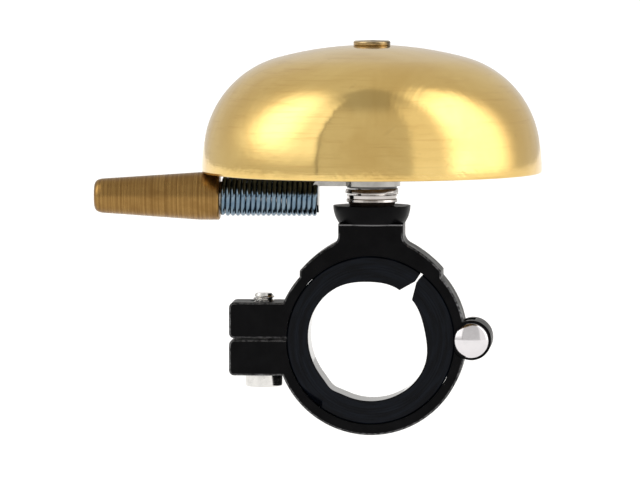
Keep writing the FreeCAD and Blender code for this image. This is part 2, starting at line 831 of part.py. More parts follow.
def make_clamp_screw():
    """A socket-head screw, its head under the lower ear and its thread through the upper one."""
    head_top = size.parting - size.ear_height + size.bolt_sink
    body = new_body("clamp_screw", place_x=-size.bolt_reach, place_z=head_top)
    sketch = new_sketch(body, "XZ_Plane")
    head = size.bolt_head / 2
    shank = size.bolt_thread / 2
    tip = size.parting + size.ear_height + size.bolt_proud - head_top
    draw_outline(sketch, [
        (0, -size.bolt_head_tall),
        (head - 0.4, -size.bolt_head_tall),
        (head, -size.bolt_head_tall + 0.4),
        (head, 0),
        (shank, 0),
        (shank, tip - 0.45),
        (shank - 0.45, tip),
        (0, tip),
    ])
    revolve(body, sketch)
    key = new_sketch(body, "XY_Plane", -size.bolt_head_tall)
    draw_outline(key, hexagon(size.bolt_key))
    pocket(body, key, size.bolt_key_deep, reverse=True)


make_clamp_screw()

# ---------------------------------------------------------------- hinge_pin and hinge_washer


def cap_radius(edge, tall):
    """The radius of a domed head with this half width and height."""
    return (edge * edge + tall * tall) / (tall * 2)


def make_hinge_pin():
    """A rivet: a polished domed head in front and a peened end behind."""
    body = new_body("hinge_pin", place_x=size.hinge_reach, place_z=size.hinge_height)
    sketch = new_sketch(body, "YZ_Plane")
    face = size.clamp_wide / 2
    head = size.pin_head / 2
    tall = size.pin_head_tall
    rear = size.pin_rear_head / 2
    rear_tall = size.pin_rear_tall
    peened = face + size.pin_washer_thick
    flat = size.pin_flat / 2
    draw_outline(sketch, [
        (-face - tall, 0),
        (-face - tall, flat, -cap_radius(head, tall)),
        (-face, head),
        (-face, size.pin_diameter / 2),
        (peened, size.pin_diameter / 2),
        (peened, rear, -cap_radius(rear, rear_tall)),
        (peened + rear_tall, flat),
        (peened + rear_tall, 0),
    ])
    revolve(body, sketch, "H_Axis")


make_hinge_pin()


def make_hinge_washer():
    body = new_body("hinge_washer", place_x=size.hinge_reach, place_y=size.clamp_wide / 2,
                    place_z=size.hinge_height)
    sketch = new_sketch(body, "XZ_Plane")
    draw_circle(sketch, 0, 0, size.pin_washer)
    draw_circle(sketch, 0, 0, size.pin_diameter)
    pad(body, sketch, size.pin_washer_thick, reverse=True)


make_hinge_washer()

# ---------------------------------------------------------------- bar_shim


def around(angle, out, aside):
    """A point this far out along a direction from the bar axis, and this far to its left."""
    return (out * cosine(angle) - aside * sine(angle), out * sine(angle) + aside * cosine(angle))


def make_bar_shim():
    """A split plastic sleeve that brings the clamp down to a thinner bar."""
    body = new_body("bar_shim")
    front = new_sketch(body, "XZ_Plane")
    draw_circle(front, 0, 0, size.shim_outer)
    draw_circle(front, 0, 0, size.shim_bore)
    pad(body, front, size.shim_wide, both_ways=True)
    ease(body, "Chamfer", size.shim_chamfer, circle_edge(size.shim_outer.value / 2))
    outside = size.shim_outer / 2 + 1.5
    inside = size.shim_bore / 2 - 0.6
    split = new_sketch(body, "XZ_Plane")
    draw_outline(split, [
        around(size.split_angle, outside, size.split_outer),
        around(size.split_angle, size.split_waist_radius, size.split_waist),
        around(size.split_angle, inside, size.split_inner),
        around(size.split_angle, inside, -size.split_inner),
        around(size.split_angle, size.split_waist_radius, -size.split_waist),
        around(size.split_angle, outside, -size.split_outer),
    ])
    pocket(body, split, size.shim_wide * 2, both_ways=True)
    crease = new_sketch(body, "XZ_Plane")
    draw_outline(crease, [
        around(size.crease_angle, size.crease_radius, as_size(0)),
        around(size.crease_angle, size.crease_radius + 0.6, as_size(-5.0)),
        around(size.crease_angle, outside, as_size(-2.0)),
        around(size.crease_angle, outside, as_size(3.4)),
    ])
    pocket(body, crease, size.shim_wide * 2, both_ways=True)


make_bar_shim()

# ---------------------------------------------------------------- check and write

doc.recompute()
for item in doc.Objects:
    if "Invalid" in item.State or "Error" in item.State:
        raise RuntimeError(f"{item.Name} is {item.State}")
for body in sub_parts:
    shape = body.Shape
    if shape.isNull() or not shape.isValid() or len(shape.Solids) != 1:
        raise RuntimeError(f"{body.Label} is not one valid solid")
    shape.exportStep(f"parts/{body.Label}.step")
    box = shape.BoundBox
    print(f"{body.Label:16} {shape.Volume:9.1f} mm3  x {box.XMin:.2f} {box.XMax:.2f}"
          f"  y {box.YMin:.2f} {box.YMax:.2f}  z {box.ZMin:.2f} {box.ZMax:.2f}")
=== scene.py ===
import json
import math
import random

import bmesh
import bpy
from mathutils import Matrix, Vector


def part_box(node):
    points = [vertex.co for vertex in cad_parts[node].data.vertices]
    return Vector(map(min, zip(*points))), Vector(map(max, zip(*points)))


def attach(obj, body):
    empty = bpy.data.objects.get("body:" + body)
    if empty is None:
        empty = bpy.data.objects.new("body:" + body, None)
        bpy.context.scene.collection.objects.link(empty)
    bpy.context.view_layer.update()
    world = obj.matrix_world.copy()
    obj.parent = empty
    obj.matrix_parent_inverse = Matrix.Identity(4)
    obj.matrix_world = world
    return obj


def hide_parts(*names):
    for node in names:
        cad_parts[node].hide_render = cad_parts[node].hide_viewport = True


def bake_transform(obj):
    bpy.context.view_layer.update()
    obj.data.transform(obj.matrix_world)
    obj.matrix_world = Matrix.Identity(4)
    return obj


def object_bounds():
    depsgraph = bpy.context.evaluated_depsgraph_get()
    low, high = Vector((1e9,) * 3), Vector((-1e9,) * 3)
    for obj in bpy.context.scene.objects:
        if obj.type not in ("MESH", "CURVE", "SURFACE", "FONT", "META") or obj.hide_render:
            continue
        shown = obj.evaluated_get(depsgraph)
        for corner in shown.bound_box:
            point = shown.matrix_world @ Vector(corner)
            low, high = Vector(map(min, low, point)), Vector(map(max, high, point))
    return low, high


# The looks of a bicycle bell: polished brass dome, spring striker with a turned knob, and a
# black clamp hinged round a split plastic shim. Metres; +Z up, the bar along Y.

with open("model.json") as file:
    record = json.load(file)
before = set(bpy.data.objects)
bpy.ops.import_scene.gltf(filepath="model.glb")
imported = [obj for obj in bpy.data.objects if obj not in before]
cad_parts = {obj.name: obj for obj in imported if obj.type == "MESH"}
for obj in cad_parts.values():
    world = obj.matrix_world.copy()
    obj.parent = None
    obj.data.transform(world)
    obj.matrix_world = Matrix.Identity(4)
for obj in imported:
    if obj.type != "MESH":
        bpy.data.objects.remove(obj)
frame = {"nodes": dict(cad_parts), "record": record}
cad_low, cad_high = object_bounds()

MM = 0.001
FULL_TURN = 2 * math.pi

# ---------------------------------------------------------------- mesh helpers


def make_piece(name, points, faces, material, sharp=32.0, place=None):
    """A smooth-shaded mesh whose points are in millimetres, moved by place."""
    mesh = bpy.data.meshes.new(name)
    mesh.from_pydata([Vector(point) * MM for point in points], [], faces)
    shape = bmesh.new()
    shape.from_mesh(mesh)
    bmesh.ops.recalc_face_normals(shape, faces=shape.faces)
    shape.to_mesh(mesh)
    shape.free()
    mesh.shade_smooth()
    mesh.set_sharp_from_angle(angle=math.radians(sharp))
    mesh.materials.append(material)
    piece = bpy.data.objects.new(name, mesh)
    bpy.context.scene.collection.objects.link(piece)
    if place is not None:
        piece.matrix_world = place
    return piece


def arc(centre, radius, start, end, steps):
    """Points (out, up) of an arc about a centre; the angles are in degrees from 'out'."""
    points = []
    for step in range(steps + 1):
        angle = math.radians(start + (end - start) * step / steps)
        points.append((centre[0] + radius * math.cos(angle),
                       centre[1] + radius * math.sin(angle)))
    return points


def round_corner(corner, radius, start, end, steps=5):
    """An arc that rounds a right-angled corner, given the arc's first and last angles."""
    middle = math.radians((start + end) / 2)
    back = radius * math.sqrt(2)
    centre = (corner[0] - back * math.cos(middle), corner[1] - back * math.sin(middle))
    return arc(centre, radius, start, end, steps)


def turned(profile, segments, closed=False):
    """Points and faces of a profile turned about Z. A radius may depend on the angle."""
    points, rings = [], []
    for out, up in profile:
        if not callable(out) and out < 1e-6:
            rings.append([len(points)])
            points.append((0.0, 0.0, up))
            continue
        rings.append(range(len(points), len(points) + segments))
        for side in range(segments):
            angle = FULL_TURN * side / segments
            radius = out(angle) if callable(out) else out
            points.append((radius * math.cos(angle), radius * math.sin(angle), up))
    pairs = list(zip(rings, rings[1:]))
    if closed:
        pairs.append((rings[-1], rings[0]))
    faces = []
    for low, high in pairs:
        for side in range(segments):
            after = (side + 1) % segments
            if len(low) == 1:
                faces.append((low[0], high[side], high[after]))
            elif len(high) == 1:
                faces.append((low[side], low[after], high[0]))
            else:
                faces.append((low[side], low[after], high[after], high[side]))
    return points, faces


def swept(path, section, across_of):
    """Points and faces of a section carried along a path, closed with a flat end at each side.
    across_of(index) gives the section's two directions there."""
    points, faces = [], []
    count = len(section)
    for index, spot in enumerate(path):
        first, second = across_of(index)
        points += [spot + first * a + second * b for a, b in section]
    for index in range(len(path) - 1):
        for side in range(count):
            after = (side + 1) % count
            low, high = index * count, (index + 1) * count
            faces.append((low + side, low + after, high + after, high + side))
    faces.append(tuple(range(count)))
    faces.append(tuple(reversed(range(len(points) - count, len(points)))))
    return points, faces


def hexagon_radius(flats):
    """The radius of a hexagon of this size across flats, as a function of the angle."""
    def radius(angle):
        side = (angle + math.pi / 6) % (math.pi / 3) - math.pi / 6
        return flats / 2 / math.cos(side)
    return radius


def pointing(axis, origin):
    """A placement whose local Z points along axis, with its origin in metres."""
    turn = Vector(axis).to_track_quat("Z", "Y").to_matrix().to_4x4()
    return Matrix.Translation(origin) @ turn


def middle_of(node):
    low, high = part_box(node)
    return (low + high) / 2


# ---------------------------------------------------------------- material helpers


class Nodes:
    """A node tree built up in short calls."""

    def __init__(self, tree):
        self.tree = tree

    def node(self, kind, inputs=(), **settings):
        node = self.tree.nodes.new("ShaderNode" + kind)
        for key, value in settings.items():
            setattr(node, key, value)
        for socket, value in dict(inputs).items():
            self.put(node.inputs[socket], value)
        return node

    def put(self, socket, value):
        """Link a socket to another node's output, or give it a plain value."""
        if isinstance(value, bpy.types.NodeSocket):
            self.tree.links.new(value, socket)
        else:
            socket.default_value = value

    def maths(self, operation, first, second=0.0, third=0.0):
        node = self.node("Math", {0: first, 1: second, 2: third}, operation=operation)
        return node.outputs["Value"]

    def split(self, vector):
        return self.node("SeparateXYZ", {"Vector": vector}).outputs

    def join(self, x, y, z):
        return self.node("CombineXYZ", {"X": x, "Y": y, "Z": z}).outputs["Vector"]

    def stretch(self, vector, scale):
        node = self.node("VectorMath", {0: vector, 1: scale}, operation="MULTIPLY")
        return node.outputs["Vector"]

    def noise(self, vector, scale, detail=3.0, rough=0.5, distortion=0.0):
        inputs = {"Vector": vector, "Scale": scale, "Detail": detail,
                  "Roughness": rough, "Distortion": distortion}
        return self.node("TexNoise", inputs).outputs["Fac"]

    def between(self, value, low, high, out_low=0.0, out_high=1.0):
        """A smooth step from out_low to out_high as the value goes from low to high."""
        inputs = {"Value": value, "From Min": low, "From Max": high,
                  "To Min": out_low, "To Max": out_high}
        return self.node("MapRange", inputs, interpolation_type="SMOOTHSTEP").outputs["Result"]

    def mix(self, factor, first, second):
        """A blend of two colours; each is a plain colour or another node's output."""
        node = self.node("Mix", data_type="RGBA")
        self.put(node.inputs[0], factor)
        for index, colour in ((6, first), (7, second)):
            plain = not isinstance(colour, bpy.types.NodeSocket)
            self.put(node.inputs[index], (*colour, 1.0) if plain else colour)
        return node.outputs[2]

    def bump(self, height, distance, under=None):
        inputs = {"Height": height, "Distance": distance, "Strength": 1.0}
        if under is not None:
            inputs["Normal"] = under
        return self.node("Bump", inputs).outputs["Normal"]

    def round_z(self, vector, along="Z"):
        """Distance from the axis and place along it, for marks that run round a turned piece."""
        parts = self.split(vector)
        names = [name for name in "XYZ" if name != along]
        squares = [self.maths("MULTIPLY", parts[name], parts[name]) for name in names]
        out = self.maths("SQRT", self.maths("ADD", *squares))
        return out, parts[along]

    def turning_marks(self, out, up, fineness, detail, rough):
        """Fine marks that run round an axis, as a lathe or a polishing wheel leaves them."""
        spot = self.join(self.maths("MULTIPLY", out, fineness),
                         self.maths("MULTIPLY", up, fineness), 0.0)
        return self.noise(spot, 1.0, detail, rough)


class Look(Nodes):
    """A node material: a Principled shader and the nodes that feed it."""

    def __init__(self, name, colour, metallic=0.0, roughness=0.4, **fixed):
        self.material = bpy.data.materials.new(name)
        self.material.use_nodes = True
        super().__init__(self.material.node_tree)
        self.shader = self.tree.nodes["Principled BSDF"]
        self.shader.inputs["Base Color"].default_value = (*colour, 1.0)
        self.shader.inputs["Metallic"].default_value = metallic
        self.shader.inputs["Roughness"].default_value = roughness
        for socket, value in fixed.items():
            self.shader.inputs[socket.replace("_", " ")].default_value = value

    def set(self, socket, value):
        self.put(self.shader.inputs[socket], value)

    def place(self):
        return self.node("TexCoord").outputs["Object"]


def dome_brass():
    """Polished brass with faint level polishing streaks, soft clouds and a few small stains."""
    look = Look("dome_brass", (0.74, 0.535, 0.235), metallic=1.0, roughness=0.17)
    place = look.place()
    cloud = look.noise(place, 60.0, 4.0, 0.6, 0.6)
    stain = look.noise(place, 240.0, 5.0, 0.7, 0.4)
    out, up = look.round_z(place)
    parts = look.split(place)
    level = look.join(look.maths("MULTIPLY", parts["X"], 90.0),
                      look.maths("MULTIPLY", parts["Y"], 90.0),
                      look.maths("MULTIPLY", up, 1500.0))
    streak = look.noise(level, 1.0, 4.0, 0.65)
    clean = look.mix(look.between(cloud, 0.30, 0.70), (0.80, 0.575, 0.215), (0.70, 0.475, 0.160))
    polish_streaks_and_highlight = look.mix(look.between(streak, 0.50, 0.78, 0.0, 0.55), clean, (0.60, 0.385, 0.125))
    look.set("Base Color", look.mix(look.between(stain, 0.60, 0.80, 0.0, 0.55), polish_streaks_and_highlight,
                                    (0.46, 0.29, 0.11)))
    look.set("Roughness", look.maths("ADD", look.between(cloud, 0.3, 0.7, 0.085, 0.15),
                                     look.between(streak, 0.5, 0.8, 0.0, 0.05)))
    lines = look.turning_marks(out, up, 2600.0, 3.0, 0.7)
    soft = look.bump(cloud, 0.00013)
    look.set("Normal", look.bump(lines, 0.000003, look.bump(streak, 0.000004, soft)))
    return look.material


def dome_inside():
    """The inside of the dome: unpolished, dull and lightly ringed, with its brown darkened as
    painted shade.
    """
    look = Look("dome_inside", (0.20, 0.125, 0.050), metallic=0.9, roughness=0.5)
    place = look.place()
    out, up = look.round_z(place)
    rings = look.turning_marks(out, up, 1500.0, 3.0, 0.7)
    cloud = look.noise(place, 120.0, 4.0, 0.6)
    look.set("Base Color", look.mix(look.between(cloud, 0.3, 0.7), (0.17, 0.105, 0.040),
                                    (0.26, 0.165, 0.070)))
    look.set("Roughness", look.between(rings, 0.3, 0.7, 0.42, 0.58))
    look.set("Normal", look.bump(rings, 0.00001))
    return look.material


def knob_brass():
    """Aged brass with turning rings, fine scratches and brown clouds."""
    look = Look("knob_brass", (0.34, 0.20, 0.07), metallic=1.0, roughness=0.34)
    place = look.place()
    out, up = look.round_z(place)
    rings = look.noise(look.join(look.maths("MULTIPLY", up, 2400.0), 0.0,
                                 look.maths("MULTIPLY", out, 300.0)), 1.0, 4.0, 0.75)
    scratch = look.noise(look.stretch(place, (260.0, 260.0, 5200.0)), 1.0, 3.0, 0.6)
    cloud = look.noise(place, 220.0, 4.0, 0.6, 0.4)
    body = look.mix(look.between(rings, 0.35, 0.68), (0.20, 0.108, 0.032), (0.36, 0.215, 0.070))
    look.set("Base Color", look.mix(look.between(cloud, 0.42, 0.75, 0.0, 0.55), body,
                                    (0.17, 0.085, 0.024)))
    look.set("Roughness", look.maths("ADD", look.between(scratch, 0.3, 0.7, 0.24, 0.38),
                                     look.between(cloud, 0.4, 0.8, 0.0, 0.10)))
    height = look.maths("ADD", rings, look.maths("MULTIPLY", scratch, 0.8))
    look.set("Normal", look.bump(height, 0.000018))
    return look.material


def bright_steel(name, colour, smooth=0.12, dull=0.30, along="Z", tint=0.85):
    """Plated steel with fine marks round its axis, and a little uneven tarnish."""
    look = Look(name, colour, metallic=1.0, roughness=smooth)
    place = look.place()
    out, up = look.round_z(place, along)
    lines = look.turning_marks(out, up, 4200.0, 2.0, 0.6)
    cloud = look.noise(place, 380.0, 3.0, 0.6)
    darker = tuple(channel * tint for channel in colour)
    look.set("Base Color", look.mix(look.between(cloud, 0.35, 0.75), colour, darker))
    look.set("Roughness", look.between(cloud, 0.3, 0.8, smooth, dull))
    look.set("Normal", look.bump(lines, 0.0000012))
    return look.material


def spring_zinc():
    """Bluish zinc on drawn wire."""
    look = Look("spring_zinc", (0.15, 0.22, 0.29), metallic=1.0, roughness=0.16)
    place = look.place()
    cloud = look.noise(place, 500.0, 3.0, 0.6)
    drawn = look.noise(look.stretch(place, (7000.0, 900.0, 900.0)), 1.0, 2.0, 0.5)
    look.set("Base Color", look.mix(look.between(cloud, 0.3, 0.7), (0.11, 0.175, 0.24),
                                    (0.20, 0.27, 0.33)))
    look.set("Roughness", look.between(cloud, 0.3, 0.75, 0.12, 0.22))
    look.set("Normal", look.bump(drawn, 0.0000008))
    return look.material


def clamp_black():
    """Blasted and anodised black, with a painted light-grey highlight along the chamfers."""
    look = Look("clamp_black", (0.004, 0.004, 0.0045), roughness=0.34, Specular_IOR_Level=0.05)
    place = look.place()
    grain = look.noise(place, 9000.0, 2.0, 0.6)
    cloud = look.noise(place, 300.0, 3.0, 0.6)
    highlight_patches = look.noise(place, 1500.0, 3.0, 0.7)
    parts = look.split(place)
    out, up = look.round_z(place)
    normal = look.node("NewGeometry").outputs["Normal"]
    lean = look.maths("ABSOLUTE", look.split(normal)["Y"])
    slanted = look.maths("MULTIPLY", look.between(lean, 0.45, 0.6),
                         look.between(lean, 0.85, 0.95, 1.0, 0.0))
    depth = look.maths("ABSOLUTE", parts["Y"])
    edge = look.maths("MULTIPLY", slanted, look.between(depth, 0.00462, 0.00468))
    under_seat = look.between(parts["Z"], 0.0200, 0.0204, 1.0, 0.0)
    edge = look.maths("MULTIPLY", edge, under_seat)
    # painted highlight: the chamfer faces below the seat, broken into patches by noise
    polish_streaks_and_highlight = look.maths("MULTIPLY", edge, look.between(highlight_patches, 0.35, 0.7, 0.05, 0.8))
    # a painted highlight line round the foot of the seat, joined to the chamfer highlight
    foot = look.maths("MULTIPLY", look.between(up, 0.02158, 0.02162),
                      look.between(up, 0.02180, 0.02188, 1.0, 0.0))
    foot = look.maths("MULTIPLY", foot, look.between(out, 0.00590, 0.00596))
    across = look.maths("ABSOLUTE", parts["X"])
    foot = look.maths("MULTIPLY", foot, look.between(across, 0.00600, 0.00606, 1.0, 0.0))
    polish_streaks_and_highlight = look.maths("MAXIMUM", polish_streaks_and_highlight, foot)
    black = look.mix(look.between(cloud, 0.3, 0.7), (0.0016, 0.0016, 0.002),
                     (0.0035, 0.0035, 0.004))
    # the painted highlights are light grey and partly metallic on the black
    look.set("Base Color", look.mix(polish_streaks_and_highlight, black, (0.16, 0.16, 0.165)))
    look.set("Metallic", look.maths("MULTIPLY", polish_streaks_and_highlight, 0.8))
    look.set("Roughness", look.between(cloud, 0.3, 0.75, 0.28, 0.42))
    look.set("Normal", look.bump(grain, 0.000008))
    return look.material


def shim_plastic():
    """Black nylon with the cutter's fine rings on its two faces."""
    look = Look("shim_plastic", (0.004, 0.005, 0.007), roughness=0.3, Specular_IOR_Level=0.09)
    place = look.place()
    out, along = look.round_z(place, "Y")
    rings = look.noise(look.join(look.maths("MULTIPLY", out, 4200.0), 0.0, 0.0), 1.0, 4.0, 0.8)
    parts = look.split(place)
    sweep = look.noise(look.join(look.maths("MULTIPLY", out, 1400.0),
                                 look.maths("MULTIPLY", parts["X"], 160.0),
                                 look.maths("MULTIPLY", parts["Z"], 160.0)), 1.0, 3.0, 0.6)
    look.set("Base Color", look.mix(look.between(sweep, 0.35, 0.7), (0.0014, 0.0018, 0.003),
                                    (0.004, 0.0055, 0.009)))
    look.set("Roughness", look.between(rings, 0.3, 0.7, 0.22, 0.36))
    look.set("Normal", look.bump(look.maths("ADD", rings, sweep), 0.000016))
    return look.material


def shim_bore_look():
    """The shim's bore, worn shiny by the bar."""
    look = Look("shim_bore", (0.006, 0.007, 0.010), roughness=0.06, Specular_IOR_Level=0.9)
    place = look.place()
    cloud = look.noise(place, 300.0, 3.0, 0.6)
    drawn = look.noise(look.stretch(place, (4000.0, 200.0, 4000.0)), 1.0, 2.0, 0.5)
    look.set("Base Color", look.mix(cloud, (0.004, 0.005, 0.007), (0.009, 0.010, 0.014)))
    look.set("Roughness", look.between(cloud, 0.3, 0.7, 0.04, 0.10))
    look.set("Normal", look.bump(drawn, 0.000002))
    return look.material


def moulded(name, light, dark, rough=0.45, grain_size=0.00018):
    """A plain moulded or pressed material with fine grain."""
    look = Look(name, light, roughness=rough)
    place = look.place()
    grain = look.noise(place, 1 / grain_size, 3.0, 0.6)
    cloud = look.noise(place, 420.0, 3.0, 0.6)
    look.set("Base Color", look.mix(look.between(cloud, 0.3, 0.7), light, dark))
    look.set("Roughness", look.between(grain, 0.3, 0.7, rough - 0.06, rough + 0.1))
    look.set("Normal", look.bump(grain, 0.00001))
    return look.material


LOOKS = {
    "dome_brass": dome_brass(),
    "dome_inside": dome_inside(),
    "knob_brass": knob_brass(),
    "screw_steel": bright_steel("screw_steel", (0.74, 0.73, 0.71)),
    "crown_steel": bright_steel("crown_steel", (0.55, 0.42, 0.24), 0.12, 0.30, tint=0.3),
    # a darker copy of the crown steel for the screw head's wall: painted shade
    "crown_wall_shade": bright_steel("crown_wall_shade", (0.40, 0.27, 0.12), 0.08, 0.22, tint=0.15),
    "washer_steel": bright_steel("washer_steel", (0.56, 0.53, 0.51), 0.10, 0.20),
    "plate_steel": bright_steel("plate_steel", (0.40, 0.39, 0.37), 0.12, 0.24),
    "spring_zinc": spring_zinc(),
    "pin_chrome": bright_steel("pin_chrome", (0.72, 0.70, 0.72), 0.09, 0.15, tint=0.93),
    "clamp_black": clamp_black(),
    "shim_plastic": shim_plastic(),
    "shim_bore": shim_bore_look(),
    "collar_plastic": moulded("collar_plastic", (0.030, 0.020, 0.014), (0.018, 0.012, 0.010)),
    "fibre": moulded("fibre", (0.26, 0.08, 0.05), (0.18, 0.06, 0.04), 0.7),
    "nylon": moulded("nylon", (0.09, 0.09, 0.09), (0.06, 0.06, 0.06), 0.4),
}

for entry in frame["record"]["subparts"]:
    node = frame["nodes"][entry["node"]]
    node.data.materials.clear()
    node.data.materials.append(LOOKS[entry["material_slot"]])

# ---------------------------------------------------------------- dome

# Each arc of the dome's side: its radius, and how far round from the axis it goes in degrees.
DOME_ARCS = ((67.6, 15.3), (18.9, 78.6), (33.9, 90.0))
DOME_STEPS = (14, 44, 10)
DOME_SEGMENTS = 288
DOME_WALL = 1.2
DOME_HOLE = 2.2
RIM_ROUND = 0.35
RIM_STEPS = 5


def dome_side(rise, depth):
    """Crown, shoulder and side of the dome from its hole down, at this depth in the brass."""
    centre_out, centre_up = 0.0, rise
    start = math.degrees(math.asin(DOME_HOLE / (DOME_ARCS[0][0] - depth)))
    points, last_radius, joined_at = [], 0.0, 0.0
    for (radius, until), count in zip(DOME_ARCS, DOME_STEPS):
        centre_out += (last_radius - radius) * math.sin(math.radians(joined_at))
        centre_up += (last_radius - radius) * math.cos(math.radians(joined_at))
        stretch = arc((centre_out, centre_up), radius - depth, 90 - start, 90 - until, count)
        points += stretch[1:] if points else stretch
        last_radius, joined_at, start = radius, until, until
    return points


def make_dome():
    low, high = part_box("bell_dome")
    rise = (DOME_ARCS[0][0] - math.sqrt(DOME_ARCS[0][0] ** 2 - DOME_HOLE ** 2)
            + (high.z - low.z) / MM)
    outer, inner = dome_side(rise, 0.0), dome_side(rise, DOME_WALL)
    rim_out, rim_in = outer[-1][0], inner[-1][0]
    profile = outer + round_corner((rim_out, 0.0), RIM_ROUND, 0, -90, RIM_STEPS)
    inside_from = len(profile)
    profile += round_corner((rim_in, 0.0), RIM_ROUND, -90, -180, RIM_STEPS)
    profile += list(reversed(inner))
    points, faces = turned(profile, DOME_SEGMENTS, closed=True)
    place = Matrix.Translation((0, 0, low.z))
    dome = make_piece("dome_shell", points, faces, LOOKS["dome_brass"], 40, place)
    # the inside faces get the darker brown: unpolished brass, also darkened as painted shade
    dome.data.materials.append(LOOKS["dome_inside"])
    for face in dome.data.polygons[inside_from * DOME_SEGMENTS:]:
        face.material_index = 1
    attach(dome, "clamp_and_bell")
    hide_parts("bell_dome")


make_dome()

# ---------------------------------------------------------------- screws and rivet

SCREW_SEGMENTS = 96


def socket(flats, deep, top):
    """The end of a profile: a countersunk hexagon recess below the level 'top'."""
    hexagon = hexagon_radius(flats)
    corner = flats / math.sqrt(3)
    return [
        (corner + 0.12, top),
        (hexagon, top - 0.10),
        (hexagon, top - deep + 0.12),
        (lambda angle: hexagon(angle) - 0.10, top - deep),
        (0.0, top - deep - 0.15),
    ]


def threaded(radius, pitch, deep, start, end, per_turn=14):
    """Rings of a helical thread, as radii that depend on the angle."""
    rings = []
    steps = int((end - start) / pitch * per_turn)
    for step in range(steps + 1):
        up = start + (end - start) * step / steps

        def ridge(angle, up=up):
            phase = (up / pitch - angle / FULL_TURN) % 1.0
            flank = min(1.0, max(0.0, (abs(phase - 0.5) - 0.08) / 0.32))
            return radius - deep * flank

        rings.append((ridge, up))
    return rings


def crown_level(radius):
    """Height of the outside of the crown at this distance from the bell axis."""
    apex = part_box("bell_dome")[1].z / MM
    crown = DOME_ARCS[0][0]
    return apex - (math.sqrt(crown ** 2 - DOME_HOLE ** 2) - math.sqrt(crown ** 2 - radius ** 2))


def make_crown_screw():
    """A low socket head on the crown; its wall gets a darker copy of its steel as painted shade.
    """
    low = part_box("centre_screw")[0]
    head, tall, shank, head_round = 3.5, 0.85, 2.0, 0.4
    head_foot = crown_level(DOME_HOLE)
    length = head_foot - low.z / MM
    profile = [(0.0, -length), (shank - 0.4, -length), (shank, -length + 0.4), (shank, -0.1),
               (shank + 0.1, 0.0)]
    profile += round_corner((head, 0.0), 0.08, -90, 0, 3)
    profile += arc((head - head_round, tall - head_round), head_round, 0, 90, 8)
    profile += socket(2.5, 0.8, tall)
    points, faces = turned(profile, SCREW_SEGMENTS)
    place = Matrix.Translation((0, 0, head_foot * MM))
    screw = make_piece("crown_screw", points, faces, LOOKS["crown_steel"], 28,
                       place)
    # the head's upright wall gets the darker copy of the steel: painted shade
    screw.data.materials.append(LOOKS["crown_wall_shade"])
    for face in screw.data.polygons:
        if face.center.z > 0 and abs(face.normal.z) < 0.3:
            face.material_index = 1
    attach(screw, "clamp_and_bell")
    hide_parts("centre_screw")


def make_jaw_screw():
    """The clamp's socket screw, head down, with its thread at the tip."""
    low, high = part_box("clamp_screw")
    head, tall, shank = 3.5, 4.0, 2.0
    top = (high.z - low.z) / MM - tall
    profile = list(reversed(socket(3.0, 2.0, 0.0)))
    profile = [(out, -tall - up) for out, up in profile]
    profile += round_corner((head, -tall), 0.35, -90, 0, 6)
    profile += round_corner((head, 0.0), 0.12, 0, 90, 3)
    profile += [(shank + 0.15, 0.0), (shank - 0.02, 0.15), (shank - 0.02, 4.2)]
    profile += threaded(shank, 0.7, 0.38, 4.4, top - 0.45)
    profile += [(shank - 0.5, top), (0.0, top)]
    points, faces = turned(profile, SCREW_SEGMENTS)
    place = Matrix.Translation(((low.x + high.x) / 2, 0, low.z + tall * MM))
    screw = make_piece("jaw_screw", points, faces, LOOKS["screw_steel"], 28, place)
    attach(screw, "clamp_bolt")
    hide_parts("clamp_screw")


def make_hinge_rivet():
    """A domed head in front, a plain pin, and a low peened end behind."""
    low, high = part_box("hinge_pin")
    head, tall, pin = 3.25, 2.2, 1.5
    rear, rear_tall = 2.3, 0.9
    front_face = low.y / MM + tall
    back_face = high.y / MM - rear_tall
    cap, shoulder, wall = 6.0, 0.7, 0.75
    lean = math.degrees(math.asin((head - shoulder) / (cap - shoulder)))
    crest = wall + cap - (cap - shoulder) * math.cos(math.radians(lean))
    rear_cap = (rear ** 2 + rear_tall ** 2) / (2 * rear_tall)
    rear_spread = math.degrees(math.asin(rear / rear_cap))
    grip = back_face - front_face
    profile = arc((0.0, crest - cap), cap, 90, 90 - lean, 14)
    profile[0] = (0.0, crest)
    profile += arc((head - shoulder, wall), shoulder, 90 - lean, 0, 10)[1:]
    profile += [(head, 0.0), (pin, 0.0), (pin, -grip)]
    profile += arc((0.0, -grip - rear_tall + rear_cap), rear_cap, rear_spread - 90, -90, 10)
    profile[-1] = (0.0, -grip - rear_tall)
    points, faces = turned(profile, SCREW_SEGMENTS)
    centre = middle_of("hinge_pin")
    place = pointing((0, -1, 0), (centre.x, front_face * MM, centre.z))
    rivet = make_piece("hinge_rivet", points, faces, LOOKS["pin_chrome"], 40, place)
    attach(rivet, "clamp_and_bell")
    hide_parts("hinge_pin")


make_crown_screw()
make_jaw_screw()
make_hinge_rivet()

# ---------------------------------------------------------------- washers


def make_split_washer():
    """One turn of a worn, faceted section that rises from end to end."""
    low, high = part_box("spring_washer")
    outer, inner, thick = (high.x - low.x) / 2 / MM, 3.15, 0.82
    rise = (high.z - low.z) / MM - thick
    start, turn, steps = -4.0, 346.0, 120
    middle = (outer + inner) / 2
    path = []
    for step in range(steps + 1):
        angle = math.radians(start - turn * step / steps)
        up = rise / 2 - rise * step / steps
        path.append(Vector((middle * math.cos(angle), middle * math.sin(angle), up)))

    def across(index):
        out = Vector((path[index].x, path[index].y, 0)).normalized()
        return out, Vector((0, 0, 1))

    wide = (outer - inner) / 2
    section = [(-wide, -0.36), (wide - 0.10, -0.40), (wide, -0.34), (wide - 0.04, 0.06),
               (wide - 0.13, 0.36), (wide - 0.24, 0.40), (-wide, 0.36)]
    points, faces = swept(path, section, across)
    place = Matrix.Translation((0, 0, (low.z + high.z) / 2))
    washer = make_piece("split_washer", points, faces, LOOKS["washer_steel"], 20,
                        place)
    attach(washer, "clamp_and_bell")
    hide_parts("spring_washer")


